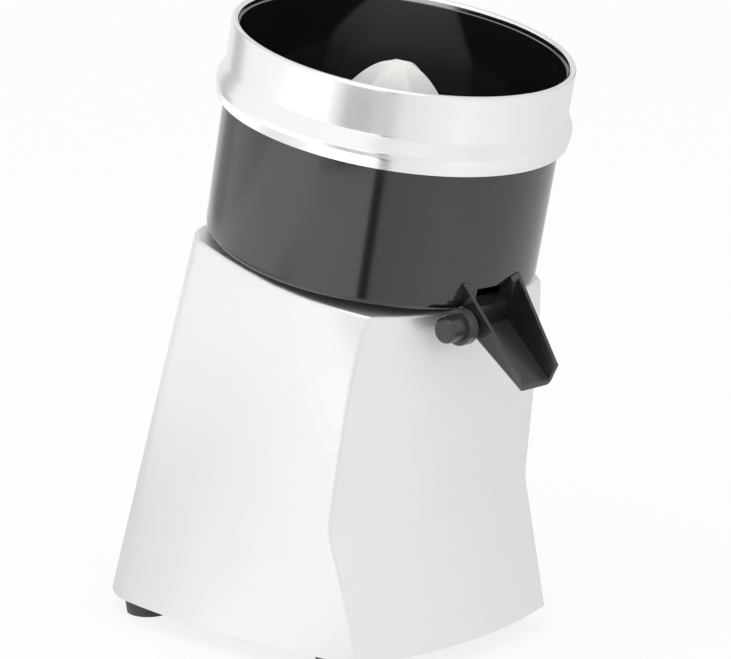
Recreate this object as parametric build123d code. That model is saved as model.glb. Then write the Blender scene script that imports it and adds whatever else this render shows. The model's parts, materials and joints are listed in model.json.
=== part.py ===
from build123d import *
import math
import os

# Stance: the table is z = 0, the front is -Y, the deck and all above it lean forward
tilt = 12.5
deck_height = 213.0
axis_y = -14.6
foot_height = 11.5

# Body shell: two outlines, leaning deck and level foot, with walls ruled between them.
# Each outline is two half super-ellipses that meet at the widest place.
deck_half_width = 83.0
deck_widest_y = -2.5
deck_front_length = 106.5
deck_front_power = 1.95
deck_rear_length = 73.5
deck_rear_power = 5.0
deck_lead = 15.0
base_half_width = 91.2
base_widest_y = 55.6
base_front_length = 297.5
base_front_power = 1.55
base_rear_length = 75.1
base_rear_power = 3.5
shell_wall = 3.0
deck_thickness = 4.0
top_round = 2.0
crease_round = 4.2
outline_start = 20
outline_step = 10

# Front of the shell: bowed face, drawn in at the waist; height, reach and bow radius of each level
front_foot = (foot_height, 92.6, 230.0)
front_waist = (82.0, 82.4, 144.5)
front_head = (196.0, 93.0, 176.5)
front_half_width = 98.0
front_depth = 260.0
waist_round = 35.0

# Base plate, bosses, feet and their fasteners
plate_thickness = 2.5
plate_recess = 1.0
plate_clearance = 0.4
boss_radius = 6.0
boss_height = 24.0
boss_stand = 5.2
boss_angles = (66, 150)
base_screw_radius = 2.0
base_screw_length = 16.0
base_screw_spare = 1.5
screw_head_ratio = 1.9
screw_head_height = 2.6
foot_radius = 14.0
foot_flare = 1.5
foot_front_x = 57.0
foot_front_y = -49.8
foot_rear_x = 69.0
foot_rear_y = 93.2
foot_screw_radius = 2.5
foot_screw_seat = 5.0
foot_nut_height = 4.0
hole_clearance = 0.3
vent_length = 46.0
vent_width = 5.0
vent_pitch = 13.0
vent_rows = 4
vent_y = 56.2

# Motor, hung from the underside of the deck and coaxial with the bowl
shaft_radius = 6.0
shaft_core_radius = 8.0
running_clearance = 0.05
shaft_hole_gap = 1.0
bearing_radius = 16.0
bearing_width = 10.0
shield_radius = 55.0
shield_wall = 4.0
shield_plate = 8.0
shield_depth = 26.0
shield_boss_wall = 4.0
stator_length = 45.0
stator_bore = 30.0
air_gap = 0.4
winding_step = 3.0
winding_gap = 2.0
winding_height = 13.0
tie_radius = 2.5
tie_ear_radius = 6.0
tie_count = 4
mount_circle = 42.0
mount_screw_radius = 2.5
mount_screw_length = 11.0
hub_radius = 16.0
hub_height = 14.0
seal_radius = 11.0
seal_height = 7.0
slinger_radius = 13.0
slinger_thickness = 2.5
slinger_gap = 1.0
fan_edge = 6.0
fan_hub_radius = 10.0
fan_height = 15.0
fan_plate = 2.0
fan_blade = 2.2
fan_blades = 9
fan_gap = 4.0
shaft_tail = 3.0

# Electrics on the base plate
capacitor_radius = 17.5
capacitor_length = 62.0
capacitor_y = -35.8
clamp_width = 14.0
clamp_thickness = 1.5
clamp_foot = 12.0
terminal_size = (46.0, 20.0, 17.0)
terminal_y = 78.2
terminal_poles = 4
terminal_bore = 2.2

# Switch on the right flank
switch_angle = 92
switch_level = 0.26
switch_width = 22.0
switch_height = 30.0
switch_lip = 3.0
switch_lip_height = 2.0
switch_depth = 24.0
switch_seat = 1.0
rocker_clearance = 0.5
rocker_rise = 2.0
rocker_angle = 9.0
rocker_pin_radius = 1.5
rocker_pin_reach = 1.5
rocker_pin_clearance = 0.1

# Cable gland at the rear
gland_level = 0.10
gland_radius = 8.0
gland_flange_step = 4.0
gland_shoulder = 1.0
gland_flange = 4.0
gland_nose = 9.0
gland_bore = 4.0
gland_nut_height = 5.0
gland_seat = 0.6
gland_pad = 2.0
gland_nut_step = 4.0

# Bowl
bowl_radius = 90.0
bowl_wall = 3.0
bowl_floor = 3.0
bowl_gap = 4.0
bowl_edge_round = 4.0
bowl_foot_inner = 62.0
bowl_foot_width = 6.0
tube_wall = 3.0
tube_height = 40.0
tube_clearance = 0.3
ledge_count = 4
ledge_reach = 5.0
ledge_width = 8.0
ledge_height = 45.0
dowel_radius = 3.0
dowel_y = 52.0
dowel_height = 4.0
dowel_depth = 3.0

# Splash ring, spun from sheet and hooked over the rim of the bowl
ring_sheet = 1.3
ring_top = 121.1
ring_bottom = 79.9
ring_skirt = 5.6
ring_swell = 3.5
ring_shoulder = 6.5
ring_clearance = 0.3
ring_lip_inset = 2.2
ring_lip_depth = 4.1
ring_bulge = 3.6
ring_foot_inset = 1.0
ring_lip_round = 1.7
ring_bend = 5.0

# Strainer
strainer_sheet = 1.2
strainer_floor = 26.0
strainer_floor_radius = 68.0
strainer_collar_height = 11.0
strainer_collar_gap = 0.6
strainer_rim_gap = 1.2
strainer_rim_width = 4.0
slot_count = 24
slot_width = 2.6
slot_inner = 33.0
slot_margin = 6.0

# Squeezer: cone with long ridges and shorter ribs between them; each row of the outline is
# a share of the height and the ridge, rib and valley radii as shares of the foot radius
ridge_count = 6
ridge_turn = 183.0
squeezer_apex = 108.1
squeezer_base = 52.0
squeezer_base_radius = 41.0
squeezer_wall = 3.5
ridge_outline = (
    (0.0, 1.0, 0.97, 0.88),
    (0.25, 0.95, 0.9, 0.825),
    (0.5, 0.8, 0.71, 0.69),
    (0.71, 0.615, 0.52, 0.535),
    (0.845, 0.465, 0.39, 0.407),
    (0.9, 0.385, 0.324, 0.338),
    (0.96, 0.27, 0.228, 0.237),
    (1.0, 0.1, 0.085, 0.088),
)
squeezer_hub_radius = 13.0
squeezer_socket = 24.0
squeezer_hub_foot = 8.0
pin_radius = 2.0
pin_length = 22.0
pin_clearance = 0.3
pin_depth = 4.5

# Spout, in the leaning frame: reach forward of the axis and height above the deck
spout_root_sink = 2.0
spout_length = 42.0
spout_root_rim = 19.3
spout_tip_rim = -16.0
spout_root_foot = -5.0
spout_tip_foot = -26.0
spout_root_rim_half = 21.2
spout_tip_rim_half = 15.8
spout_root_foot_half = 16.5
spout_tip_foot_half = 11.5
spout_wall = 2.3
spout_tip_round = 4.0
spout_clearance = 0.3
tongue_half_width = 15.5
tongue_wall = 1.8
tongue_bottom = 4.4
tongue_top = 15.0
tongue_depth = 7.0

# Retaining knob at the root of the spout
knob_forward = 2.5
knob_height = -2.8
knob_radius = 6.9
knob_flare = 0.3
knob_grip = 11.2
knob_collar_radius = 9.6
knob_collar_width = 5.7
knob_flank_gap = 0.46
knob_round = 2.6
knob_seat_gap = 0.1
stud_radius = 2.4
stud_inner = 10.0

leaning = Location((0, axis_y, deck_height), (tilt, 0, 0))
deck_plane = Plane(leaning)
upright_margin = 2.0
plate_bottom = foot_height + plate_recess
plate_top = plate_bottom + plate_thickness
hub_bore = hub_radius + tube_clearance
boss_inset = shell_wall + boss_stand
shield_boss_radius = bearing_radius + shield_boss_wall
tie_circle = shield_radius + tie_ear_radius
winding_inner = stator_bore + winding_step
winding_outer = shield_radius - shield_wall - winding_gap
fan_radius = shield_radius - shield_wall - fan_edge
gland_flange_radius = gland_radius + gland_flange_step
gland_nut_radius = gland_radius + gland_nut_step
bowl_foot_outer = bowl_foot_inner + bowl_foot_width
ring_lip_radius = bowl_radius - ring_lip_inset
ring_bulge_radius = bowl_radius + ring_clearance + ring_sheet + ring_bulge
ring_foot_radius = ring_bulge_radius - ring_foot_inset
ring_bulge_height = ring_bottom + ring_skirt
ring_shoulder_low = ring_bulge_height + ring_swell
ring_shoulder_high = ring_shoulder_low + ring_shoulder
strainer_rim_radius = bowl_radius - bowl_wall - strainer_rim_gap
slot_outer = strainer_floor_radius - slot_margin
spout_root_reach = bowl_radius - spout_root_sink
spout_tip_reach = spout_root_reach + spout_length
tongue_reach = bowl_radius - tongue_depth
knob_reach = bowl_radius + knob_forward


def lean(shape):
    """Moves a shape from the leaning frame of the deck to the upright frame."""
    return leaning * shape


def turned(points):
    """Turns a closed outline of (radius, height) points about the upright axis."""
    outline = Plane.XZ * make_face(Polyline(*points, close=True))
    return revolve(outline, Axis.Z)


def rod(radius, bottom, top):
    """Upright cylinder between two heights."""
    return Pos(0, 0, bottom) * Cylinder(radius, top - bottom, align=(Align.CENTER, Align.CENTER, Align.MIN))


def tube(inner, outer, bottom, top):
    """Upright tube between two heights."""
    return rod(outer, bottom, top) - rod(inner, bottom, top)


def around(count, radius, start=0.0):
    """Places on a circle, each turned to face outward."""
    return [Rot(0, 0, start + 360.0 * i / count) * Pos(radius, 0, 0) for i in range(count)]


def group(solids):
    """Separate solids kept together as one node."""
    return Compound(children=[item.solid() for item in solids])


def outline_angles():
    return range(outline_start, 360 - outline_start + 1, outline_step)


def outline_reach(angle, length, power):
    """Reach of a super-ellipse in front of or behind its widest place."""
    side = abs(math.sin(math.radians(angle)))
    return length * max(0.0, 1 - side**power) ** (1 / power)


def deck_point(angle, inset):
    """Point of the deck's outline, in the leaning frame; angle 0 is the front."""
    forward = math.cos(math.radians(angle)) > 0
    if forward:
        lead = deck_lead * math.sin(math.radians(2 * angle)) ** 2
        angle += math.copysign(lead, math.sin(math.radians(angle)))
    x = (deck_half_width - inset) * math.sin(math.radians(angle))
    if forward:
        return Vector(x, deck_widest_y - outline_reach(angle, deck_front_length - inset, deck_front_power), 0)
    return Vector(x, deck_widest_y + outline_reach(angle, deck_rear_length - inset, deck_rear_power), 0)


def base_point(angle, inset):
    """Point of the foot's outline, at the table; angle 0 is the front."""
    x = (base_half_width - inset) * math.sin(math.radians(angle))
    if math.cos(math.radians(angle)) > 0:
        return Vector(x, base_widest_y - outline_reach(angle, base_front_length - inset, base_front_power), 0)
    return Vector(x, base_widest_y + outline_reach(angle, base_rear_length - inset, base_rear_power), 0)


def closed_outline(points):
    """Smooth curve through the points, closed across the front by a straight line."""
    spread = [i / (len(points) - 1) for i in range(len(points))]
    curve = Edge.make_spline(points, parameters=spread)
    return Face(Wire([curve, Line(points[-1], points[0])]))


def flank_solid(inset, bottom, top_drop):
    """Body between foot and deck with the front not yet cut."""
    low = Pos(0, 0, bottom) * closed_outline([base_point(a, inset) for a in outline_angles()])
    high = lean(Pos(0, 0, -top_drop) * closed_outline([deck_point(a, inset) for a in outline_angles()]))
    return loft([low, high], ruled=True)


def front_level(base, tip, height):
    """Level of the front carried on from base past tip to another height."""
    share = (height - base[0]) / (tip[0] - base[0])
    return [low + share * (high - low) for low, high in zip(base, tip)]


def front_section(level, inset):
    """Level slice of the block whose bowed side is the front of the shell."""
    height, reach, bow = level
    drop = bow - math.sqrt(bow**2 - front_half_width**2)
    corner = -reach + inset + drop
    arc = ThreePointArc((-front_half_width, corner), (0, -reach + inset), (front_half_width, corner))
    rest = Polyline(
        (front_half_width, corner),
        (front_half_width, front_depth),
        (-front_half_width, front_depth),
        (-front_half_width, corner),
    )
    return Pos(0, 0, height) * Face(Wire(arc.edges() + rest.edges()))


def front_solid(inset):
    """Block whose front is bowed and folded at the waist."""
    low = front_level(front_waist, front_foot, -upright_margin)
    summit = deck_height + deck_rear_length * math.sin(math.radians(tilt))
    high = front_level(front_waist, front_head, summit)
    block = loft([front_section(level, inset) for level in (low, front_waist, high)], ruled=True)
    folds = block.edges().filter_by(lambda e: is_fold(e))
    return fillet(folds, waist_round)


def is_fold(edge):
    """The bowed edge at the waist."""
    middle = edge.position_at(0.5)
    return abs(middle.Z - front_waist[0]) < upright_margin and middle.Y < 0


def flank_place(angle, level):
    """Plane on the outside of a flank, facing out; level runs from the foot to the deck."""
    def point(a, share):
        low = base_point(a, 0) + Vector(0, 0, foot_height)
        high = deck_plane.from_local_coords(deck_point(a, 0))
        return low + (high - low) * share

    here = point(angle, level)
    along = (point(angle + 1, level) - point(angle - 1, level)).normalized()
    upward = (point(angle, level + 0.05) - point(angle, level - 0.05)).normalized()
    return Plane(origin=here, x_dir=along, z_dir=along.cross(upward))


def boss_places():
    """Feet of the screw bosses, along the inside of the wall."""
    places = []
    for angle in boss_angles:
        for side in (angle, 360 - angle):
            inner = base_point(side, boss_inset)
            places.append(Pos(inner.X, inner.Y, 0))
    return places


def foot_places():
    return [
        ("foot_front_left", Pos(-foot_front_x, foot_front_y, 0)),
        ("foot_front_right", Pos(foot_front_x, foot_front_y, 0)),
        ("foot_rear_left", Pos(-foot_rear_x, foot_rear_y, 0)),
        ("foot_rear_right", Pos(foot_rear_x, foot_rear_y, 0)),
    ]


def switch_cut(grow, depth):
    width = switch_width + 2 * grow
    height = switch_height + 2 * grow
    return Box(width, height, depth, align=(Align.CENTER, Align.CENTER, Align.MAX))


def make_body_shell():
    outer = flank_solid(0, foot_height, 0) & front_solid(0)
    creases = outer.edges().filter_by(lambda e: is_crease(e))
    outer = fillet(creases, crease_round)
    outer = fillet(outer.edges().filter_by(lambda e: on_deck(e)), top_round)
    hollow = flank_solid(shell_wall, foot_height - upright_margin, deck_thickness) & front_solid(shell_wall)
    shell = outer - hollow
    for place in boss_places():
        boss = place * rod(boss_radius, plate_top, plate_top + boss_height)
        shell += boss & outer
        shell -= place * rod(base_screw_radius, plate_top, plate_top + base_screw_length + base_screw_spare)
    shell -= lean(rod(hub_radius + hole_clearance, -2 * deck_thickness, deck_thickness))
    for place in around(tie_count, mount_circle, 45):
        shell -= lean(place * rod(mount_screw_radius + hole_clearance, -2 * deck_thickness, deck_thickness))
    shell -= lean(Pos(0, dowel_y, 0) * rod(dowel_radius, -dowel_depth, deck_thickness))
    flank = flank_place(switch_angle, switch_level)
    shell -= flank * switch_cut(switch_lip + rocker_clearance, switch_seat)
    shell -= flank * switch_cut(rocker_clearance, switch_depth)
    rear = flank_place(180, gland_level)
    shell += rear * rod(gland_nut_radius, -shell_wall - gland_pad, -shell_wall / 2)
    shell -= rear * rod(gland_flange_radius + hole_clearance, -gland_seat, gland_flange)
    shell -= rear * rod(gland_radius + hole_clearance, -2 * gland_flange_radius, gland_flange)
    return shell


def is_crease(edge):
    """The two upright edges where the front meets the flanks."""
    box = edge.bounding_box()
    return box.size.Z > deck_height / 4 and box.center().Y < 0


def on_deck(edge):
    """Edges that lie in the plane of the deck."""
    spots = [deck_plane.to_local_coords(edge.position_at(share)) for share in (0, 0.5, 1)]
    return all(abs(spot.Z) < crease_round / 10 for spot in spots)


def make_base_plate():
    inset = shell_wall + plate_clearance
    form = flank_solid(inset, foot_height - upright_margin, deck_thickness) & front_solid(inset)
    slab = Pos(0, 0, plate_bottom) * Box(
        4 * base_half_width, 4 * base_half_width, plate_thickness, align=(Align.CENTER, Align.CENTER, Align.MIN)
    )
    plate = form & slab
    for place in boss_places():
        plate -= place * rod(base_screw_radius + hole_clearance, 0, 2 * plate_top)
    for _, place in foot_places():
        plate -= place * rod(foot_screw_radius + hole_clearance, 0, 2 * plate_top)
    slot = extrude(SlotOverall(vent_length, vent_width), 2 * plate_top)
    for row in range(vent_rows):
        plate -= Pos(0, vent_y - row * vent_pitch, 0) * slot
    return plate


def make_base_screws():
    screws = []
    for place in boss_places():
        head = rod(base_screw_radius * screw_head_ratio, plate_bottom - screw_head_height, plate_bottom)
        shank = rod(base_screw_radius, plate_bottom, plate_top + base_screw_length)
        screws.append(place * (head + shank))
    return group(screws)


def make_foot(place):
    profile = (
        (0, 0),
        (foot_radius - foot_flare, 0),
        (foot_radius, foot_height),
        (foot_radius - foot_flare, plate_bottom),
        (0, plate_bottom),
    )
    foot = turned(profile)
    head = foot_screw_radius * screw_head_ratio
    foot -= rod(foot_screw_radius, 0, plate_bottom)
    foot -= rod(head + hole_clearance, 0, foot_screw_seat)
    return place * foot


def make_foot_screws():
    screws = []
    for _, place in foot_places():
        head = rod(foot_screw_radius * screw_head_ratio, foot_screw_seat - screw_head_height, foot_screw_seat)
        shank = rod(foot_screw_radius, foot_screw_seat, plate_top + foot_nut_height)
        screws.append(place * (head + shank))
    return group(screws)


def make_foot_nuts():
    nuts = []
    for _, place in foot_places():
        blank = extrude(RegularPolygon(foot_screw_radius * screw_head_ratio, 6), foot_nut_height)
        nuts.append(place * (Pos(0, 0, plate_top) * blank - rod(foot_screw_radius, 0, 2 * plate_top)))
    return group(nuts)


stack_top = -deck_thickness - shield_plate - shield_depth
stack_bottom = stack_top - stator_length
lower_face = stack_bottom - shield_depth
lower_end = lower_face - shield_plate
upper_bearing_top = -deck_thickness - shield_plate
lower_bearing_bottom = lower_face


def shield(plate_low, plate_high, skirt_end, boss_end):
    """End shield: plate with a skirt, an inner bearing boss and ears for the tie bolts."""
    skirt_low, skirt_high = sorted((plate_low, skirt_end))
    boss_low, boss_high = sorted((plate_low, boss_end))
    plate_bounds = sorted((plate_low, plate_high))
    body = rod(shield_radius, *plate_bounds)
    body += tube(shield_radius - shield_wall, shield_radius, skirt_low, skirt_high)
    body += rod(shield_boss_radius, boss_low, boss_high)
    for place in around(tie_count, tie_circle):
        ear = rod(tie_ear_radius, *plate_bounds)
        web = Pos(0, 0, plate_bounds[0]) * Box(
            2 * tie_ear_radius, 2 * tie_ear_radius, shield_plate, align=(Align.MAX, Align.CENTER, Align.MIN)
        )
        body += place * (ear + web)
        body -= place * rod(tie_radius, *plate_bounds)
    body -= rod(bearing_radius, boss_low, boss_high)
    return body


def make_upper_shield():
    body = shield(upper_bearing_top, -deck_thickness, stack_top, upper_bearing_top - bearing_width)
    body += rod(hub_radius, -deck_thickness, hub_height)
    body -= rod(shaft_radius + shaft_hole_gap, upper_bearing_top - bearing_width, hub_height)
    body -= rod(seal_radius, hub_height - seal_height, hub_height)
    for place in around(tie_count, mount_circle, 45):
        body -= place * rod(mount_screw_radius, -mount_screw_length, 0)
    return lean(body)


def make_lower_shield():
    body = shield(lower_face, lower_end, stack_bottom, lower_bearing_bottom + bearing_width)
    body -= rod(shaft_radius + 1, lower_end, lower_face + bearing_width)
    return lean(body)


def make_stator_core():
    return lean(tube(stator_bore, shield_radius, stack_bottom, stack_top))


def make_windings():
    upper = tube(winding_inner, winding_outer, stack_top, stack_top + winding_height)
    lower = tube(winding_inner, winding_outer, stack_bottom - winding_height, stack_bottom)
    coils = []
    for coil in (upper, lower):
        coils.append(lean(fillet(coil.edges(), winding_height / 4)))
    return coils


def make_bearing(bottom):
    ring = tube(shaft_radius + running_clearance, bearing_radius, bottom, bottom + bearing_width)
    groove = bearing_width / 8
    inner = shaft_radius + (bearing_radius - shaft_radius) / 3
    outer = bearing_radius - (bearing_radius - shaft_radius) / 3
    ring -= tube(inner, outer, bottom, bottom + groove)
    ring -= tube(inner, outer, bottom + bearing_width - groove, bottom + bearing_width)
    return lean(ring)


def make_tie_bolts():
    bolts = []
    for place in around(tie_count, tie_circle):
        head = rod(tie_radius * screw_head_ratio, lower_end - screw_head_height, lower_end)
        shank = rod(tie_radius, lower_end, -deck_thickness)
        bolts.append(lean(place * (head + shank)))
    return group(bolts)


def make_mount_screws():
    screws = []
    for place in around(tie_count, mount_circle, 45):
        head = rod(mount_screw_radius * screw_head_ratio, 0, screw_head_height)
        shank = rod(mount_screw_radius, -mount_screw_length, 0)
        screws.append(lean(place * (head + shank)))
    return group(screws)


def make_shaft_seal():
    return lean(tube(shaft_radius + running_clearance, seal_radius, hub_height - seal_height, hub_height))


shaft_top = squeezer_base + squeezer_socket - squeezer_hub_foot
fan_top = lower_end - fan_gap - screw_head_height
fan_bottom = fan_top - fan_height
pin_height = squeezer_base - squeezer_hub_foot + pin_depth - pin_radius


def make_drive_shaft():
    shaft = rod(shaft_radius, fan_bottom - shaft_tail, shaft_top)
    shaft += rod(shaft_core_radius, stack_bottom - winding_height, stack_top + winding_height)
    shaft = chamfer(shaft.edges().group_by(Axis.Z)[-1], shaft_radius / 6)
    shaft -= Pos(0, 0, pin_height) * Rot(0, 90, 0) * Cylinder(pin_radius, pin_length)
    return lean(shaft)


def make_drive_pin():
    return lean(Pos(0, 0, pin_height) * Rot(0, 90, 0) * Cylinder(pin_radius, pin_length))


def make_rotor():
    core = tube(shaft_core_radius, stator_bore - air_gap, stack_bottom, stack_top)
    ring = winding_height / 3
    core += tube(stator_bore / 2, stator_bore - 4 * air_gap, stack_bottom - ring, stack_top + ring)
    return lean(core)


def make_cooling_fan():
    fan = rod(fan_hub_radius, fan_bottom, fan_top)
    fan += rod(fan_radius, fan_top - fan_plate, fan_top)
    length = fan_radius - fan_hub_radius / 2
    blade = Box(length, fan_blade, fan_height, align=(Align.MIN, Align.CENTER, Align.MIN))
    for place in around(fan_blades, fan_hub_radius / 2):
        fan += place * Pos(0, 0, fan_bottom) * blade
    fan &= rod(fan_radius, fan_bottom, fan_top)
    fan -= rod(shaft_radius, fan_bottom, fan_top)
    return lean(fan)


def make_slinger():
    bottom = hub_height + slinger_gap
    return lean(tube(shaft_radius, slinger_radius, bottom, bottom + slinger_thickness))


def make_capacitor():
    can = Pos(0, capacitor_y, plate_top + capacitor_radius + clamp_thickness) * Rot(0, 90, 0)
    body = Cylinder(capacitor_radius, capacitor_length)
    body = fillet(body.edges(), capacitor_radius / 8)
    return can * body


def make_capacitor_clamp():
    """Saddle strap round the can, with two feet on the plate."""
    centre = plate_top + capacitor_radius + clamp_thickness
    outer = capacitor_radius + clamp_thickness
    strap = Circle(outer) - Circle(capacitor_radius)
    for side in (-1, 1):
        reach = outer + clamp_foot / 2
        strap += Pos(side * reach, -outer + clamp_thickness / 2) * Rectangle(clamp_foot, clamp_thickness)
        leg_height = outer
        strap += Pos(side * (outer - clamp_thickness / 2), -leg_height / 2) * Rectangle(clamp_thickness, leg_height)
    strap -= Circle(capacitor_radius)
    flat = Plane(origin=(-clamp_width / 2, capacitor_y, centre), x_dir=(0, 1, 0), z_dir=(1, 0, 0))
    return extrude(flat * strap, clamp_width)


def make_terminal_block():
    width, depth, height = terminal_size
    block = Pos(0, terminal_y, plate_top) * Box(*terminal_size, align=(Align.CENTER, Align.CENTER, Align.MIN))
    pitch = width / terminal_poles
    for i in range(terminal_poles):
        place = Pos((i - (terminal_poles - 1) / 2) * pitch, terminal_y, plate_top)
        block -= place * rod(terminal_bore, height / 2, height)
        block -= place * Pos(0, 0, height / 4) * Rot(90, 0, 0) * Cylinder(terminal_bore, 2 * depth)
    return block


def rocker_pivot_depth():
    return switch_seat + 2 * rocker_rise


def rocker_pin(grow):
    """Round pin that the rocker turns on, through both side walls of the housing's window."""
    length = switch_width - 2 * switch_lip + 2 * (rocker_pin_reach + grow)
    return Pos(0, 0, -rocker_pivot_depth()) * Rot(0, 90, 0) * Cylinder(rocker_pin_radius + grow, length)


def make_switch_housing():
    flank = flank_place(switch_angle, switch_level)
    lip = Pos(0, 0, switch_lip_height - switch_seat) * switch_cut(switch_lip, switch_lip_height)
    case = switch_cut(0, switch_depth)
    body = lip + case
    window = Box(
        switch_width - 2 * switch_lip, switch_height - 2 * switch_lip, 2 * switch_depth / 3,
        align=(Align.CENTER, Align.CENTER, Align.MAX),
    )
    body -= Pos(0, 0, switch_lip_height) * window
    body -= rocker_pin(rocker_pin_clearance)
    return flank * body


def make_switch_rocker():
    """Rocker with two sloping pads, turning on a cross axis inside the housing; shown off."""
    flank = flank_place(switch_angle, switch_level)
    width = switch_width - 2 * switch_lip - 2 * rocker_clearance
    pivot = -rocker_pivot_depth()
    window_top = switch_lip_height - switch_seat
    swing = (window_top - pivot) * math.sin(math.radians(rocker_angle))
    half = switch_height / 2 - switch_lip - rocker_clearance - swing
    slope = half * math.tan(math.radians(rocker_angle))
    crown = window_top + rocker_rise
    profile = Polyline(
        (-half, crown),
        (0, crown - slope),
        (half, crown),
        (half, pivot / 2),
        (0, pivot - rocker_rise),
        (-half, pivot / 2),
        close=True,
    )
    side = Plane(origin=(-width / 2, 0, 0), x_dir=(0, 1, 0), z_dir=(1, 0, 0))
    rocker = extrude(side * make_face(profile), width) + rocker_pin(0)
    switched_off = Pos(0, 0, pivot) * Rot(rocker_angle, 0, 0) * Pos(0, 0, -pivot)
    return flank * switched_off * rocker


def make_cable_gland():
    rear = flank_place(180, gland_level)
    inside = -shell_wall - gland_pad - 1.5 * gland_nut_height
    body = rod(gland_radius, inside, gland_flange)
    body += rod(gland_flange_radius, -gland_seat, gland_flange)
    nose = Pos(0, 0, gland_flange) * Cone(
        gland_flange_radius - gland_shoulder, gland_radius, gland_nose, align=(Align.CENTER, Align.CENTER, Align.MIN)
    )
    body += nose
    body -= rod(gland_bore, inside, gland_flange + gland_nose)
    return rear * body


def make_gland_nut():
    rear = flank_place(180, gland_level)
    top = -shell_wall - gland_pad
    blank = Pos(0, 0, top - gland_nut_height) * extrude(RegularPolygon(gland_nut_radius, 6), gland_nut_height)
    return rear * (blank - rod(gland_radius, top - gland_nut_height, top))


bowl_bottom = bowl_gap
bowl_inside = bowl_bottom + bowl_floor
bowl_height = ring_top - ring_lip_depth


def outlet_cut():
    width = 2 * (tongue_half_width + spout_clearance)
    bottom = tongue_bottom - spout_clearance
    height = tongue_top + spout_clearance - bottom
    depth = bowl_radius - tongue_reach + 2 * bowl_wall
    return Pos(0, -tongue_reach + spout_clearance, bottom) * Box(
        width, depth, height, align=(Align.CENTER, Align.MAX, Align.MIN)
    )


def make_bowl():
    wall_inner = bowl_radius - bowl_wall
    shell = rod(bowl_radius, bowl_bottom, bowl_height)
    shell = fillet(shell.edges().group_by(Axis.Z)[0], bowl_edge_round)
    shell -= rod(wall_inner, bowl_inside, bowl_height)
    shell += tube(hub_bore, hub_bore + tube_wall, bowl_bottom, tube_height)
    shell += tube(bowl_foot_inner, bowl_foot_outer, 0, bowl_bottom)
    ledge = Pos(0, 0, bowl_inside) * Box(
        2 * ledge_reach, ledge_width, ledge_height - bowl_inside, align=(Align.CENTER, Align.CENTER, Align.MIN)
    )
    ring = rod(bowl_radius - bowl_wall / 2, bowl_bottom, bowl_height)
    for place in around(ledge_count, wall_inner, 45):
        shell += (place * ledge) & ring
    shell -= rod(hub_bore, -bowl_gap, bowl_inside)
    shell -= Pos(0, dowel_y, 0) * rod(dowel_radius + hole_clearance, 0, dowel_height + hole_clearance)
    shell -= outlet_cut()
    return lean(shell)


def make_dowel():
    return lean(Pos(0, dowel_y, 0) * rod(dowel_radius, -dowel_depth, dowel_height))


def make_splash_ring():
    """Spun sheet: swollen skirt, shoulder, straight band and a rolled bead that sits on the rim."""
    inside = bowl_radius + ring_clearance
    band = inside + ring_sheet
    outer = (
        (ring_foot_radius, ring_bottom),
        (ring_bulge_radius, ring_bulge_height),
        (ring_bulge_radius, ring_shoulder_low),
        (band, ring_shoulder_high),
        (band, ring_top),
        (ring_lip_radius, ring_top),
        (ring_lip_radius, bowl_height),
    )
    inner = (
        (inside, bowl_height),
        (inside, ring_shoulder_high - ring_sheet / 4),
        (ring_bulge_radius - ring_sheet, ring_shoulder_low - ring_sheet / 4),
        (ring_bulge_radius - ring_sheet, ring_bulge_height),
        (ring_foot_radius - ring_sheet, ring_bottom),
    )
    outer_bends = (ring_bend, ring_bend, ring_bend, ring_lip_round, ring_lip_round)
    outer_side = FilletPolyline(*outer, radius=outer_bends)
    inner_side = FilletPolyline(*inner, radius=ring_bend)
    ends = [Line(outer[-1], inner[0]), Line(inner[-1], outer[0])]
    section = Face(Wire(outer_side.edges() + inner_side.edges() + ends))
    return lean(revolve(Plane.XZ * section, Axis.Z))


def make_strainer():
    collar = hub_bore + tube_wall + strainer_collar_gap
    low = strainer_floor
    high = ledge_height
    sheet = strainer_sheet
    rim_inner = strainer_rim_radius - strainer_rim_width
    profile = (
        (collar, low),
        (strainer_floor_radius, low),
        (rim_inner, high),
        (strainer_rim_radius, high),
        (strainer_rim_radius, high + sheet),
        (rim_inner - sheet / 2, high + sheet),
        (strainer_floor_radius - sheet / 2, low + sheet),
        (collar + sheet, low + sheet),
        (collar + sheet, low + strainer_collar_height),
        (collar, low + strainer_collar_height),
    )
    tray = turned(profile)
    middle = (slot_inner + slot_outer) / 2
    slot = extrude(SlotOverall(slot_outer - slot_inner, slot_width), 2 * sheet)
    for place in around(slot_count, middle):
        tray -= place * Pos(0, 0, low - sheet / 2) * slot
    return lean(tray)


def ridged_section(share, *sizes):
    """Section of the squeezer: long ridge, valley, short rib and valley by turns."""
    ridge, rib, valley = [squeezer_base_radius * size for size in sizes]
    radii = (ridge, valley, rib, valley)
    points = []
    for i in range(len(radii) * ridge_count):
        turn = math.radians(ridge_turn + 360.0 * i / (len(radii) * ridge_count))
        radius = radii[i % len(radii)]
        points.append((radius * math.cos(turn), radius * math.sin(turn)))
    height = squeezer_base + share * (squeezer_apex - squeezer_base)
    return Pos(0, 0, height) * make_face(Polyline(*points, close=True))


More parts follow.
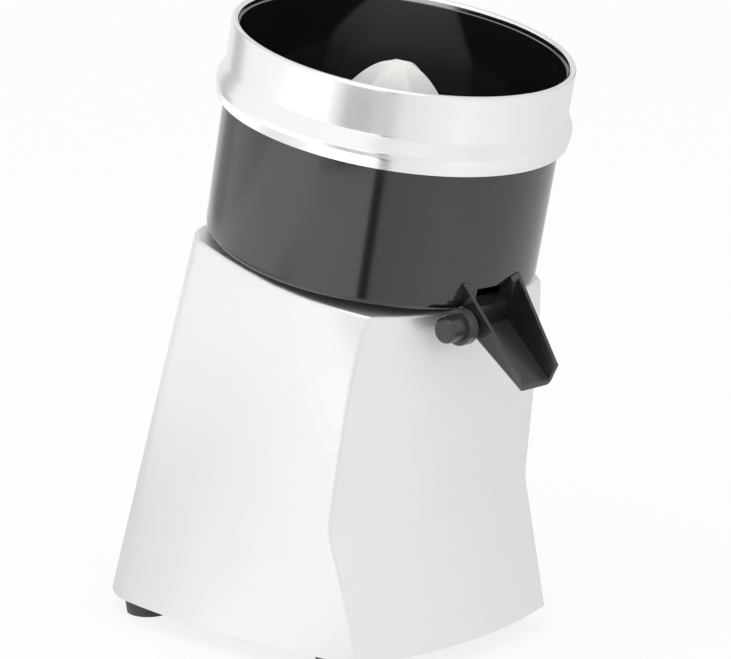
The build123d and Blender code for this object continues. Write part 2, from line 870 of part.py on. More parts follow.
def make_squeezer():
    body = loft([ridged_section(*row) for row in ridge_outline])
    hollow_height = (squeezer_apex - squeezer_base) / 2
    hollow_top = squeezer_base + hollow_height
    valley_radius = squeezer_base_radius * ridge_outline[0][-1]
    hollow = Pos(0, 0, squeezer_base) * Cone(
        valley_radius - squeezer_wall,
        valley_radius / 2,
        hollow_height,
        align=(Align.CENTER, Align.CENTER, Align.MIN),
    )
    body -= hollow
    hub_bottom = squeezer_base - squeezer_hub_foot
    body += rod(squeezer_hub_radius, hub_bottom, hollow_top)
    body -= rod(shaft_radius + running_clearance, hub_bottom, hub_bottom + squeezer_socket)
    slot_height = pin_height + pin_radius + pin_clearance - hub_bottom
    body -= Pos(0, 0, hub_bottom) * Box(
        2 * squeezer_hub_radius,
        2 * (pin_radius + pin_clearance),
        slot_height,
        align=(Align.CENTER, Align.CENTER, Align.MIN),
    )
    return lean(body)


def trough_section(reach, rim, foot, rim_half, foot_half):
    """Upright cross-section of the spout at one reach forward of the axis."""
    points = ((-rim_half, rim), (rim_half, rim), (foot_half, foot), (-foot_half, foot))
    flat = Plane(origin=(0, -reach, 0), x_dir=(1, 0, 0), z_dir=(0, -1, 0))
    return flat * make_face(Polyline(*points, close=True))


def spout_at(reach):
    """Rim and foot heights and half widths of the spout at a reach."""
    share = (reach - spout_root_reach) / (spout_tip_reach - spout_root_reach)
    pairs = (
        (spout_root_rim, spout_tip_rim),
        (spout_root_foot, spout_tip_foot),
        (spout_root_rim_half, spout_tip_rim_half),
        (spout_root_foot_half, spout_tip_foot_half),
    )
    return [root + (tip - root) * share for root, tip in pairs]


def knob_collar_inner():
    """Distance from the middle to the collar, just clear of the flank of the spout."""
    rim, foot, rim_half, foot_half = spout_at(knob_reach)
    share = (knob_height + knob_collar_radius - foot) / (rim - foot)
    return foot_half + share * (rim_half - foot_half) + knob_flank_gap


def knob_collar_outer():
    return knob_collar_inner() + knob_collar_width


def make_spout():
    spout_start = spout_root_reach - spout_root_sink
    outer = loft([trough_section(r, *spout_at(r)) for r in (spout_start, spout_tip_reach)], ruled=True)
    tip_edges = outer.edges().filter_by(lambda e: is_tip_corner(e))
    outer = fillet(tip_edges, spout_tip_round)
    outer -= rod(bowl_radius + spout_clearance, spout_tip_foot, bowl_height)
    outer += tongue()
    outer -= trough()
    outer -= throat()
    outer += spout_seat()
    outer -= stud_rod(running_clearance)
    return lean(outer)


def is_tip_corner(edge):
    """Lower long edges of the trough near its tip."""
    middle = edge.position_at(0.5)
    low = spout_at(spout_tip_reach)[1]
    ends = [edge.position_at(0), edge.position_at(1)]
    runs_forward = abs(ends[0].Y - ends[1].Y) > spout_wall
    return runs_forward and min(e.Z for e in ends) < low + spout_wall and abs(middle.X) > 0


def trough():
    """Inside of the spout, open at the top and the tip, with a back that follows the bowl."""
    sections = []
    for reach in (tongue_reach, spout_tip_reach + spout_wall):
        rim, foot, rim_half, foot_half = spout_at(reach)
        slope = (rim_half - foot_half) / (rim - foot)
        inset = spout_wall * (1 - slope)
        sections.append(trough_section(reach, rim + spout_wall, foot + spout_wall, rim_half - inset, foot_half - inset))
    back = rod(bowl_radius + spout_clearance + spout_wall, 2 * spout_tip_foot, bowl_height)
    return loft(sections, ruled=True) - back


def throat():
    """Open-topped way from the outlet of the bowl into the trough."""
    length = bowl_radius + spout_clearance + 2 * spout_wall - tongue_reach
    return Pos(0, -tongue_reach, tongue_bottom + tongue_wall) * Box(
        2 * (tongue_half_width - tongue_wall),
        length,
        2 * spout_root_rim,
        align=(Align.CENTER, Align.MAX, Align.MIN),
    )


def tongue():
    """Short block that enters the outlet of the bowl."""
    depth = bowl_radius + spout_clearance + spout_wall - tongue_reach
    return Pos(0, -tongue_reach, tongue_bottom) * Box(
        2 * tongue_half_width,
        depth,
        tongue_top - tongue_bottom,
        align=(Align.CENTER, Align.MAX, Align.MIN),
    )


def across(shape):
    """Lays an upright shape along -X at the knob's axis."""
    return Pos(0, -knob_reach, knob_height) * Rot(0, -90, 0) * shape


def spout_seat():
    """Boss on the flank of the trough that the knob's collar seats on."""
    return across(rod(stud_radius + spout_wall, stud_inner - spout_wall, knob_collar_inner() - knob_seat_gap))


def stud_rod(grow):
    return across(rod(stud_radius + grow, stud_inner - grow, knob_collar_outer()))


def make_spout_knob():
    collar = rod(knob_collar_radius, knob_collar_inner(), knob_collar_outer())
    grip = Pos(0, 0, knob_collar_outer()) * Cone(
        knob_radius + knob_flare,
        knob_radius,
        knob_grip,
        align=(Align.CENTER, Align.CENTER, Align.MIN),
    )
    grip = fillet(grip.edges().group_by(Axis.Z)[-1], knob_round)
    knob = across(collar + grip) - stud_rod(0)
    return lean(knob)


def make_knob_stud():
    return lean(stud_rod(0))


def make_parts():
    upper_winding, lower_winding = make_windings()
    parts = {
        "body_shell": make_body_shell(),
        "base_plate": make_base_plate(),
        "base_screws": make_base_screws(),
        "foot_screws": make_foot_screws(),
        "foot_nuts": make_foot_nuts(),
        "upper_end_shield": make_upper_shield(),
        "lower_end_shield": make_lower_shield(),
        "stator_core": make_stator_core(),
        "upper_winding": upper_winding,
        "lower_winding": lower_winding,
        "upper_bearing": make_bearing(upper_bearing_top - bearing_width),
        "lower_bearing": make_bearing(lower_bearing_bottom),
        "tie_bolts": make_tie_bolts(),
        "motor_screws": make_mount_screws(),
        "shaft_seal": make_shaft_seal(),
        "locating_dowel": make_dowel(),
        "drive_shaft": make_drive_shaft(),
        "drive_pin": make_drive_pin(),
        "rotor": make_rotor(),
        "cooling_fan": make_cooling_fan(),
        "slinger": make_slinger(),
        "run_capacitor": make_capacitor(),
        "capacitor_clamp": make_capacitor_clamp(),
        "terminal_block": make_terminal_block(),
        "switch_housing": make_switch_housing(),
        "switch_rocker": make_switch_rocker(),
        "cable_gland": make_cable_gland(),
        "gland_nut": make_gland_nut(),
        "bowl": make_bowl(),
        "splash_ring": make_splash_ring(),
        "strainer": make_strainer(),
        "squeezer": make_squeezer(),
        "spout": make_spout(),
        "spout_knob": make_spout_knob(),
        "knob_stud": make_knob_stud(),
    }
    for name, place in foot_places():
        parts[name] = make_foot(place)
    return parts


os.makedirs("parts", exist_ok=True)
for node, shape in make_parts().items():
    export_step(shape, f"parts/{node}.step")
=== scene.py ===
import json
import math

import bmesh
import bpy
from mathutils import Matrix, Vector


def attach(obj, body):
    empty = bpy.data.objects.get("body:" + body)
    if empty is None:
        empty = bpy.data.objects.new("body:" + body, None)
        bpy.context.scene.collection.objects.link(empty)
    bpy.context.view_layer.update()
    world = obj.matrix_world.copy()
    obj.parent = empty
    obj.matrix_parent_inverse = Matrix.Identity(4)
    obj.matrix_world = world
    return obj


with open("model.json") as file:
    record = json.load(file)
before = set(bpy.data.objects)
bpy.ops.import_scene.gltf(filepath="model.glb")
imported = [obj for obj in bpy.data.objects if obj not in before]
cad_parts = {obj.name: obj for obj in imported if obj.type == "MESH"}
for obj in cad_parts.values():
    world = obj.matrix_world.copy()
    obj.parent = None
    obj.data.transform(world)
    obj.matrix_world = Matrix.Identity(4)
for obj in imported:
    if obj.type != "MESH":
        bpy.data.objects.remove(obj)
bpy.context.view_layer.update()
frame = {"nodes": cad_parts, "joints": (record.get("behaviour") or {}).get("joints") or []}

# Directions: the table is level and the front of the object faces -Y
UP = Vector((0, 0, 1))
TO_FRONT = Vector((0, -1, 0))
TO_REAR = Vector((0, 1, 0))
HALF_TURN = 180
MILLIMETRE = 0.001

# Camera, in metres and degrees, and the lens of the 36 mm sensor
CAMERA_PLACE = (-1.1137, -1.1446, 0.5459)
CAMERA_TURN = (76.67, 0.0, -44.5)
CAMERA_LENS = 147.7
CAMERA_REACH = 50
# Direction of the camera from the object, from which the studio's bearings are counted
CAMERA_BEARING = math.atan2(CAMERA_PLACE[1], CAMERA_PLACE[0])

# Studio: brightness by bearing, in degrees to the right of the camera. The walls light the object and show
# in its glossy pieces; the table's brightness, far, near and close to the object, shows in these only.
WALLS = (
    (-180, 0.9),
    (-152, 0.9),
    (-142, 0.6),
    (-132, 0.65),
    (-122, 1.0),
    (-110, 1.05),
    (-14, 1.1),
    (0, 0.9),
    (20, 0.98),
    (100, 0.88),
    (180, 0.77),
)
TABLE_FAR = (
    (-180, 0.9),
    (-135, 1.2),
    (-110, 1.3),
    (-75, 1.5),
    (-60, 1.55),
    (-10, 1.35),
    (-8, 0.15),
    (-4, 0.15),
    (-1, 0.85),
    (40, 1.0),
    (80, 0.95),
    (180, 0.75),
)
TABLE_NEAR = (
    (-180, 0.65),
    (-104, 0.7),
    (-90, 0.88),
    (-77, 0.95),
    (-62, 1.05),
    (-54, 1.25),
    (-46, 1.4),
    (-10, 1.3),
    (-8, 0.15),
    (-4, 0.15),
    (-1, 0.88),
    (40, 1.05),
    (80, 0.93),
    (180, 0.74),
)
TABLE_CLOSE = (
    (-180, 0.72),
    (-104, 0.75),
    (-77, 1.05),
    (-60, 1.2),
    (-30, 1.15),
    (-10, 0.92),
    (40, 1.0),
    (80, 0.9),
    (180, 0.74),
)
# Distances from the middle of the object over which one of these gives way to the next
CLOSE_TO_NEAR = (0.3, 0.42)
NEAR_TO_FAR = (0.72, 0.86)
FAR_TO_WALLS = (1.55, 1.75)
# Dark card that the splash ring mirrors: brightness by bearing, distance, and heights of its two ends
CARD = (
    (-44, 1.25),
    (-30, 0.52),
    (-18, 0.5),
    (2, 0.85),
)
CARD_DISTANCE = 0.55
CARD_LOW = (0.117, 0.045)
CARD_HIGH = (0.197, 0.125)
CARD_STEPS = 12
FLOOR_SIZE = 12.0
FLOOR_WHITE = 0.9
FLOOR_GLOW = 0.85
WHITE = (1.0, 1.0, 1.0)
TOP_LAMP = (-0.5, -0.4, 1.6)
TOP_LAMP_SIZE = 1.2
TOP_LAMP_POWER = 4.0
# Where a new stop of a colour ramp stands until it gets its place
RAMP_MIDDLE = 0.5

# Finishes. colour is the plain colour, mottle its change from patch to patch and patch the fineness of these;
# uneven is the change of roughness; grain, stretch and relief are the fineness, drawing-out and depth in
# millimetres of the surface; worn is the colour of rubbed edges.
FINISHES = {
    "satin_metal": dict(
        colour=(0.82, 0.82, 0.82), mottle=0.01, patch=25, roughness=0.36, uneven=0.04,
        metallic=0.7, grain=2600, stretch=(1, 1, 0.06), relief=0.0025,
    ),
    "polished_metal": dict(
        colour=(0.87, 0.87, 0.875), mottle=0.015, patch=30, roughness=0.14, uneven=0.04,
        metallic=1.0, grain=1800, relief=0.004,
    ),
    "gloss_black": dict(
        colour=(0.008, 0.008, 0.009), mottle=0.2, patch=40, roughness=0.08, uneven=0.03,
        grain=900, relief=0.002, sockets={"IOR": 1.7},
    ),
    "moulded_black": dict(
        colour=(0.013, 0.013, 0.014), mottle=0.2, patch=60, roughness=0.28, uneven=0.06,
        grain=1600, relief=0.01, worn=(0.05, 0.05, 0.052), sockets={"IOR": 1.6},
    ),
    "knob_black": dict(
        colour=(0.03, 0.03, 0.032), mottle=0.2, patch=60, roughness=0.3, uneven=0.06,
        grain=1600, relief=0.01, worn=(0.08, 0.08, 0.082), sockets={"IOR": 1.6},
    ),
    "pale_plastic": dict(
        colour=(0.79, 0.79, 0.765), mottle=0.04, patch=70, roughness=0.35, uneven=0.08,
        grain=1400, relief=0.01, worn=(0.88, 0.88, 0.86),
        sockets={"Subsurface Weight": 0.3, "Subsurface Scale": 0.004},
    ),
    "dark_strainer": dict(
        colour=(0.014, 0.014, 0.015), mottle=0.2, patch=60, roughness=0.4, uneven=0.08,
        grain=1300, relief=0.015, worn=(0.04, 0.04, 0.042),
    ),
    "foot_rubber": dict(
        colour=(0.07, 0.07, 0.072), mottle=0.25, patch=120, roughness=0.62, uneven=0.1,
        grain=2200, relief=0.05, worn=(0.09, 0.09, 0.092),
    ),
    "painted_plate": dict(
        colour=(0.05, 0.05, 0.054), mottle=0.12, patch=90, roughness=0.5, uneven=0.08,
        grain=1700, relief=0.04, worn=(0.2, 0.2, 0.2),
    ),
    "screw_steel": dict(
        colour=(0.55, 0.56, 0.58), mottle=0.08, patch=200, roughness=0.3, uneven=0.08,
        metallic=1.0, grain=3000, stretch=(1, 1, 0.2), relief=0.01, worn=(0.75, 0.75, 0.76),
    ),
    "cast_alloy": dict(
        colour=(0.6, 0.6, 0.61), mottle=0.08, patch=90, roughness=0.48, uneven=0.1,
        metallic=1.0, grain=900, relief=0.08, worn=(0.75, 0.75, 0.76),
    ),
    "core_steel": dict(
        colour=(0.26, 0.27, 0.29), mottle=0.15, patch=120, roughness=0.45, uneven=0.1,
        metallic=0.9, grain=1500, stretch=(0.02, 0.3, 1), relief=0.15, worn=(0.4, 0.4, 0.42),
    ),
    "winding_wire": dict(
        colour=(0.55, 0.22, 0.07), mottle=0.3, patch=150, roughness=0.35, uneven=0.1,
        metallic=0.85, grain=1300, stretch=(0.3, 0.3, 1), relief=0.3, worn=(0.75, 0.36, 0.14),
    ),
    "inner_plastic": dict(
        colour=(0.3, 0.3, 0.31), mottle=0.1, patch=90, roughness=0.5, uneven=0.08,
        grain=1400, relief=0.02, worn=(0.38, 0.38, 0.39),
    ),
    "switch_black": dict(
        colour=(0.02, 0.02, 0.021), mottle=0.2, patch=90, roughness=0.42, uneven=0.08,
        grain=1900, relief=0.03, worn=(0.06, 0.06, 0.062),
    ),
    "white_print": dict(
        colour=(0.8, 0.8, 0.79), mottle=0.06, patch=300, roughness=0.5, uneven=0.08,
        grain=3000, relief=0.01,
    ),
    # Painted shade: colour of the dark plates that stand in for the shade inside the screws' cross recesses
    "recess_painted_shade": dict(
        colour=(0.05, 0.05, 0.052), mottle=0.2, patch=300, roughness=0.55, uneven=0.1,
        metallic=0.6, grain=3000, relief=0.01,
    ),
    "seal_rubber": dict(
        colour=(0.03, 0.03, 0.032), mottle=0.2, patch=150, roughness=0.6, uneven=0.1,
        grain=2000, relief=0.05, worn=(0.06, 0.06, 0.062),
    ),
}
NOISE_DETAIL = 4
NOISE_RANGE = (0.3, 0.7)
EDGE_RANGE = (0.52, 0.6)
GRAIN_STRENGTH = 0.3

# CAD nodes that wear each finish
WEARS = {
    "satin_metal": ("body_shell",),
    "polished_metal": ("splash_ring",),
    "gloss_black": ("bowl",),
    "moulded_black": ("spout",),
    "knob_black": ("spout_knob",),
    "pale_plastic": ("squeezer",),
    "dark_strainer": ("strainer",),
    "foot_rubber": ("foot_front_left", "foot_front_right", "foot_rear_left", "foot_rear_right"),
    "painted_plate": ("base_plate",),
    "screw_steel": (
        "base_screws", "foot_screws", "foot_nuts", "tie_bolts", "motor_screws", "locating_dowel",
        "drive_shaft", "drive_pin", "knob_stud", "upper_bearing", "lower_bearing", "capacitor_clamp",
    ),
    "cast_alloy": ("upper_end_shield", "lower_end_shield", "run_capacitor"),
    "core_steel": ("stator_core", "rotor"),
    "winding_wire": ("upper_winding", "lower_winding"),
    "inner_plastic": ("cooling_fan", "slinger", "terminal_block"),
    "switch_black": ("switch_housing", "switch_rocker", "cable_gland", "gland_nut"),
    "seal_rubber": ("shaft_seal",),
}

# Small printed and pressed details, in metres; the screw crosses are thin dark plates of painted shade
# standing in for the pressed recesses
WELD = 1e-6
PAD_FACING = 0.9
PAD_COUNT = 2
PAD_DIGITS = 1
RING_STEPS = 32
BAR_STEPS = 8
MARK_HEIGHT = 0.0048
MARK_LINE = 0.0008
MARK_PRINT = 0.00008
CROSS_ARMS = 4
CROSS_REACH = 0.0024
CROSS_TIP = 0.0003
CROSS_ROOT = 0.0006
CROSS_SHADE_THICKNESS = 0.00006
SKIN_RADIUS = 0.0025
SKIN_REACH = 0.02
SKIN_THICKNESS = 0.00008


def link(tree, start, end):
    tree.links.new(start, end)


def noise(tree, scale, stretch=(1, 1, 1)):
    """Noise in the object's own metres, drawn out along the axes by stretch."""
    place = tree.nodes.new("ShaderNodeTexCoord")
    mapping = tree.nodes.new("ShaderNodeMapping")
    mapping.inputs["Scale"].default_value = stretch
    texture = tree.nodes.new("ShaderNodeTexNoise")
    texture.inputs["Scale"].default_value = scale
    texture.inputs["Detail"].default_value = NOISE_DETAIL
    link(tree, place.outputs["Object"], mapping.inputs["Vector"])
    link(tree, mapping.outputs["Vector"], texture.inputs["Vector"])
    return texture.outputs["Fac"]


def spread(tree, value, low, high, span=NOISE_RANGE):
    """Stretches the span of a value, as a rule the middle of a noise, to the range low to high."""
    node = tree.nodes.new("ShaderNodeMapRange")
    node.inputs["From Min"].default_value = span[0]
    node.inputs["From Max"].default_value = span[1]
    node.inputs["To Min"].default_value = low
    node.inputs["To Max"].default_value = high
    link(tree, value, node.inputs["Value"])
    return node.outputs["Result"]


def mix_colours(tree, share, first, second):
    """Colour between two colours, each given as numbers or as another node's output."""
    node = tree.nodes.new("ShaderNodeMix")
    node.data_type = "RGBA"
    link(tree, share, node.inputs["Factor"])
    for name, colour in (("A", first), ("B", second)):
        socket = [s for s in node.inputs if s.name == name and s.type == "RGBA"][0]
        if isinstance(colour, tuple):
            socket.default_value = (*colour, 1)
        else:
            link(tree, colour, socket)
    return [s for s in node.outputs if s.type == "RGBA"][0]


def edge_mask(tree):
    """One along outer edges, nought on the faces."""
    geometry = tree.nodes.new("ShaderNodeNewGeometry")
    return spread(tree, geometry.outputs["Pointiness"], 0, 1, EDGE_RANGE)


def bump(tree, shader, height, distance):
    """Fine relief of this depth on a shader."""
    node = tree.nodes.new("ShaderNodeBump")
    node.inputs["Strength"].default_value = GRAIN_STRENGTH
    node.inputs["Distance"].default_value = distance
    link(tree, height, node.inputs["Height"])
    link(tree, node.outputs["Normal"], shader.inputs["Normal"])


def surface(name, colour, mottle, patch, roughness, uneven, grain, relief,
            metallic=0.0, stretch=(1, 1, 1), worn=None, sockets=None):
    """Material with patchy colour, uneven gloss, fine grain and worn edges."""
    material = bpy.data.materials.new(name)
    material.use_nodes = True
    tree = material.node_tree
    shader = tree.nodes["Principled BSDF"]
    shader.inputs["Metallic"].default_value = metallic
    for socket, value in (sockets or {}).items():
        shader.inputs[socket].default_value = value
    patches = spread(tree, noise(tree, patch), 0, 1)
    dark = tuple(part * (1 - mottle) for part in colour)
    light = tuple(min(1.0, part * (1 + mottle)) for part in colour)
    shade = mix_colours(tree, patches, dark, light)
    if worn:
        shade = mix_colours(tree, edge_mask(tree), shade, worn)
    link(tree, shade, shader.inputs["Base Color"])
    fine = noise(tree, grain, stretch)
    link(tree, spread(tree, fine, roughness - uneven, roughness + uneven), shader.inputs["Roughness"])
    bump(tree, shader, fine, relief * MILLIMETRE)
    return material


def dress_nodes(materials):
    """Gives each CAD node its material."""
    for name, nodes in WEARS.items():
        for node in nodes:
            slots = frame["nodes"][node].data.materials
            slots.clear()
            slots.append(materials[name])


def welded(node):
    """Mesh of a CAD node with the vertices of neighbouring faces joined."""
    mesh = bmesh.new()
    mesh.from_mesh(frame["nodes"][node].data)
    bmesh.ops.remove_doubles(mesh, verts=mesh.verts, dist=WELD)
    mesh.normal_update()
    return mesh


def islands(mesh):
    """Points of each separate solid in a mesh."""
    left = set(mesh.verts)
    groups = []
    for first in mesh.verts:
        if first not in left:
            continue
        left.remove(first)
        reached = [first]
        for vert in reached:
            for edge in vert.link_edges:
                other = edge.other_vert(vert)
                if other in left:
                    left.remove(other)
                    reached.append(other)
        groups.append([vert.co.copy() for vert in reached])
    return groups


def middle_of(points):
    return sum(points, Vector()) / len(points)


def area_of(faces):
    return sum(face.calc_area() for face in faces)


def circle(radius):
    """Points of a circle about the origin."""
    turns = [2 * math.pi * step / RING_STEPS for step in range(RING_STEPS)]
    return [(radius * math.cos(turn), radius * math.sin(turn)) for turn in turns]


def facing(origin, normal, upright):
    """Place whose Z is the normal and whose Y is as near as can be to upright."""
    across = upright.cross(normal).normalized()
    turn = Matrix((across, normal.cross(across), normal)).transposed()
    return Matrix.Translation(origin) @ turn.to_4x4()


def add_plate(mesh, outline, place, thickness):
    """Adds a thin plate of this outline on the XY plane of a place."""
    low = [mesh.verts.new(place @ Vector((x, y, 0))) for x, y in outline]
    high = [mesh.verts.new(place @ Vector((x, y, thickness))) for x, y in outline]
    mesh.faces.new(high)
    mesh.faces.new(low[::-1])
    for start in range(len(outline)):
        end = (start + 1) % len(outline)
        mesh.faces.new((low[start], low[end], high[end], high[start]))


def add_ring(mesh, inner, outer, place, thickness):
    """Adds a flat ring on the XY plane of a place."""
    rows = []
    for inside, outside in zip(circle(inner), circle(outer)):
        corners = ((*inside, 0), (*outside, 0), (*outside, thickness), (*inside, thickness))
        rows.append([mesh.verts.new(place @ Vector(corner)) for corner in corners])
    for row, following in zip(rows, rows[1:] + rows[:1]):
        for start in range(len(row)):
            end = (start + 1) % len(row)
            mesh.faces.new((row[start], row[end], following[end], following[start]))


def finish_piece(mesh, name, material, body):
    """Makes a mesh into a piece of this material that rides on a body."""
    data = bpy.data.meshes.new(name)
    bmesh.ops.recalc_face_normals(mesh, faces=mesh.faces)
    mesh.to_mesh(data)
    mesh.free()
    data.materials.append(material)
    piece = bpy.data.objects.new(name, data)
    bpy.context.scene.collection.objects.link(piece)
    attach(piece, body)


def make_switch_marks(material):
    """Bar on the upper pad of the rocker, which is pressed for on, and ring on the lower one."""
    rocker = welded("switch_rocker")
    pads = {}
    for face in rocker.faces:
        if face.normal.x > PAD_FACING:
            pads.setdefault(round(face.normal.z, PAD_DIGITS), []).append(face)
    places = []
    for faces in sorted(pads.values(), key=area_of, reverse=True)[:PAD_COUNT]:
        weighed = sum((face.calc_center_median() * face.calc_area() for face in faces), Vector())
        places.append(facing(weighed / area_of(faces), faces[0].normal.copy(), UP))
    rocker.free()
    lower, upper = sorted(places, key=lambda place: place.translation.z)
    half = MARK_LINE / 2
    straight = MARK_HEIGHT / 2 - half
    bar = []
    for first, end in ((0, straight), (BAR_STEPS, -straight)):
        for step in range(first, first + BAR_STEPS + 1):
            turn = math.pi * step / BAR_STEPS
            bar.append((half * math.cos(turn), end + half * math.sin(turn)))
    marks = bmesh.new()
    add_plate(marks, bar, upper, MARK_PRINT)
    add_ring(marks, MARK_HEIGHT / 2 - MARK_LINE, MARK_HEIGHT / 2, lower, MARK_PRINT)
    finish_piece(marks, "switch_marks", material, "switch_rocker")


def make_screw_recess_painted_shade(material):
    """Painted shade of the cross recess of each screw head: a thin dark plate on the head stands in for the
    shade inside the recess.
    """
    crosses = bmesh.new()
    motor_up = [Vector(joint["axis"]) for joint in frame["joints"] if joint["name"] == "drive_spin"][0]
    outline = []
    for arm in range(CROSS_ARMS):
        turn = Matrix.Rotation(2 * math.pi * arm / CROSS_ARMS, 2)
        for corner in ((CROSS_REACH, -CROSS_TIP), (CROSS_REACH, CROSS_TIP), (CROSS_ROOT, CROSS_ROOT)):
            outline.append(tuple(turn @ Vector(corner)))
    for node, outward in (("base_screws", -UP), ("foot_screws", -UP), ("motor_screws", motor_up)):
        mesh = welded(node)
        for points in islands(mesh):
            top = max(point.dot(outward) for point in points)
            rim = [point for point in points if top - point.dot(outward) < WELD]
            add_plate(crosses, outline, facing(middle_of(rim), outward, TO_REAR), CROSS_SHADE_THICKNESS)
        mesh.free()
    finish_piece(crosses, "screw_recess_painted_shade", material, "base")


def make_rear_skin(material):
    """Thin skin over the pinholes where the ends of the two rear base screws come through the wall."""
    shell = frame["nodes"]["body_shell"]
    bpy.context.view_layer.update()
    outline = circle(SKIN_RADIUS)
    skin = bmesh.new()
    screws = welded("base_screws")
    for points in islands(screws):
        middle = middle_of(points)
        if middle.y < 0:
            continue
        height = max(point.z for point in points)
        places = []
        normals = []
        for across, along in outline:
            start = Vector((middle.x + across, middle.y + SKIN_REACH, height + along))
            hit, place, normal, _ = shell.ray_cast(start, TO_FRONT)
            if hit:
                places.append(place)
                normals.append(normal)
        outward = sum(normals, Vector()).normalized()
        origin = middle_of(places) - outward * SKIN_THICKNESS / 2
        add_plate(skin, outline, facing(origin, outward, UP), SKIN_THICKNESS)
    screws.free()
    finish_piece(skin, "rear_skin", material, "base")


def make_camera():
    data = bpy.data.cameras.new("camera")
    data.lens = CAMERA_LENS
    data.clip_end = CAMERA_REACH
    camera = bpy.data.objects.new("camera", data)
    camera.location = CAMERA_PLACE
    camera.rotation_euler = [math.radians(turn) for turn in CAMERA_TURN]
    bpy.context.scene.collection.objects.link(camera)
    bpy.context.scene.camera = camera


def calculate(tree, operation, *values):
    """Result of a sum on numbers or on other nodes' outputs."""
    node = tree.nodes.new("ShaderNodeMath")
    node.operation = operation
    for socket, value in zip(node.inputs, values):
        if isinstance(value, float):
            socket.default_value = value
        else:
            link(tree, value, socket)
    return node.outputs[0]


def light_by_bearing(tree, direction, levels):
    """Brightness of the studio in a direction from the object, by its bearing."""
    turn = tree.nodes.new("ShaderNodeVectorRotate")
    turn.rotation_type = "Z_AXIS"
    turn.inputs["Angle"].default_value = -CAMERA_BEARING
    split = tree.nodes.new("ShaderNodeSeparateXYZ")
    link(tree, direction, turn.inputs["Vector"])
    link(tree, turn.outputs["Vector"], split.inputs["Vector"])
    bearing = calculate(tree, "ARCTAN2", split.outputs["Y"], split.outputs["X"])
    ramp = tree.nodes.new("ShaderNodeValToRGB")
    stops = ramp.color_ramp.elements
    while len(stops) < len(levels):
        stops.new(RAMP_MIDDLE)
    for stop, (degrees, level) in zip(stops, levels):
        stop.position = (degrees + HALF_TURN) / (2 * HALF_TURN)
        stop.color = (level, level, level, 1)
    link(tree, spread(tree, bearing, 0, 1, (-math.pi, math.pi)), ramp.inputs["Fac"])
    return ramp.outputs["Color"]


def studio_piece(name, points, faces):
    """Piece of the studio, and the nodes of its material, which are still without a shader."""
    mesh = bpy.data.meshes.new(name)
    mesh.from_pydata(points, [], faces)
    piece = bpy.data.objects.new(name, mesh)
    bpy.context.scene.collection.objects.link(piece)
    material = bpy.data.materials.new(name)
    material.use_nodes = True
    mesh.materials.append(material)
    tree = material.node_tree
    tree.nodes.remove(tree.nodes["Principled BSDF"])
    return piece, tree


def make_floor():
    """White table that takes the object's shadow, shows bright zones in mirrors and is clear from below."""
    half = FLOOR_SIZE / 2
    corners = [(-half, -half, 0), (half, -half, 0), (half, half, 0), (-half, half, 0)]
    floor, tree = studio_piece("floor", corners, [range(len(corners))])
    plain = tree.nodes.new("ShaderNodeBsdfDiffuse")
    plain.inputs["Color"].default_value = (FLOOR_WHITE, FLOOR_WHITE, FLOOR_WHITE, 1)
    path = tree.nodes.new("ShaderNodeLightPath")
    place = tree.nodes.new("ShaderNodeTexCoord")
    white = tree.nodes.new("ShaderNodeEmission")
    mirrored = tree.nodes.new("ShaderNodeEmission")
    distance = tree.nodes.new("ShaderNodeVectorMath")
    distance.operation = "LENGTH"
    link(tree, place.outputs["Object"], distance.inputs[0])
    shade = light_by_bearing(tree, place.outputs["Object"], TABLE_CLOSE)
    for fade, levels in ((CLOSE_TO_NEAR, TABLE_NEAR), (NEAR_TO_FAR, TABLE_FAR), (FAR_TO_WALLS, WALLS)):
        share = spread(tree, distance.outputs["Value"], 0, 1, fade)
        shade = mix_colours(tree, share, shade, light_by_bearing(tree, place.outputs["Object"], levels))
    link(tree, shade, mirrored.inputs["Color"])
    clear = tree.nodes.new("ShaderNodeBsdfTransparent")
    side = tree.nodes.new("ShaderNodeNewGeometry")
    seen = calculate(tree, "MULTIPLY", path.outputs["Is Camera Ray"], FLOOR_GLOW)
    in_gloss = calculate(
        tree, "MAXIMUM", path.outputs["Is Glossy Ray"], path.outputs["Is Transmission Ray"]
    )
    shader = plain.outputs["BSDF"]
    for share, other in ((seen, white), (in_gloss, mirrored), (side.outputs["Backfacing"], clear)):
        mix = tree.nodes.new("ShaderNodeMixShader")
        link(tree, share, mix.inputs["Fac"])
        link(tree, shader, mix.inputs[1])
        link(tree, other.outputs[0], mix.inputs[2])
        shader = mix.outputs["Shader"]
    link(tree, shader, tree.nodes["Material Output"].inputs["Surface"])


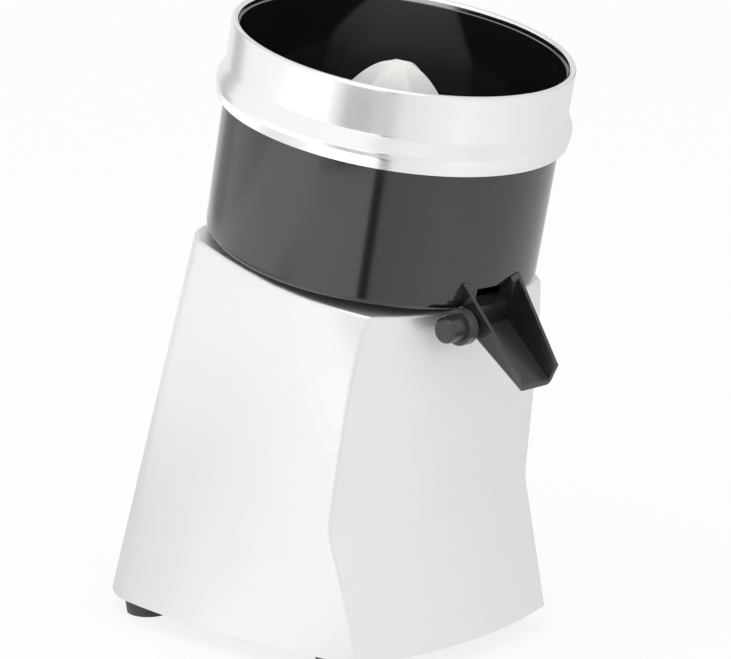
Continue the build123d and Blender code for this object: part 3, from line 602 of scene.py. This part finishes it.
def make_card():
    """Curved strip that stands in the air at the left of the camera and shows in mirrors only."""
    first, last = CARD[0][0], CARD[-1][0]
    points = []
    for step in range(CARD_STEPS + 1):
        share = step / CARD_STEPS
        bearing = CAMERA_BEARING + math.radians(first + share * (last - first))
        for start, end in (CARD_LOW, CARD_HIGH):
            height = start + share * (end - start)
            points.append((CARD_DISTANCE * math.cos(bearing), CARD_DISTANCE * math.sin(bearing), height))
    faces = [(low, low + 2, low + 3, low + 1) for low in range(0, 2 * CARD_STEPS, 2)]
    card, tree = studio_piece("card", points, faces)
    card.visible_camera = False
    card.visible_diffuse = False
    card.visible_shadow = False
    place = tree.nodes.new("ShaderNodeTexCoord")
    glow = tree.nodes.new("ShaderNodeEmission")
    link(tree, light_by_bearing(tree, place.outputs["Object"], CARD), glow.inputs["Color"])
    link(tree, glow.outputs["Emission"], tree.nodes["Material Output"].inputs["Surface"])


def make_room():
    """White to the camera; bright walls with one dark gap, by bearing, to everything else."""
    world = bpy.data.worlds.new("room")
    world.use_nodes = True
    bpy.context.scene.world = world
    tree = world.node_tree
    place = tree.nodes.new("ShaderNodeTexCoord")
    path = tree.nodes.new("ShaderNodeLightPath")
    light = light_by_bearing(tree, place.outputs["Generated"], WALLS)
    colour = mix_colours(tree, path.outputs["Is Camera Ray"], light, WHITE)
    link(tree, colour, tree.nodes["Background"].inputs["Color"])


def make_lamp():
    """Soft round lamp above the object, to the left of its front."""
    data = bpy.data.lights.new("top_lamp", "AREA")
    data.shape = "DISK"
    data.size = TOP_LAMP_SIZE
    data.energy = TOP_LAMP_POWER
    lamp = bpy.data.objects.new("top_lamp", data)
    lamp.location = TOP_LAMP
    lamp.rotation_euler = (-Vector(TOP_LAMP)).to_track_quat("-Z", "Y").to_euler()
    bpy.context.scene.collection.objects.link(lamp)


bpy.context.scene.view_settings.view_transform = "Standard"
finishes = {name: surface(name, **finish) for name, finish in FINISHES.items()}
dress_nodes(finishes)
make_switch_marks(finishes["white_print"])
# Dark plates of painted shade on the screw heads, in place of the shade inside their cross recesses
make_screw_recess_painted_shade(finishes["recess_painted_shade"])
make_rear_skin(finishes["satin_metal"])
make_camera()
make_floor()
make_card()
make_room()
make_lamp()
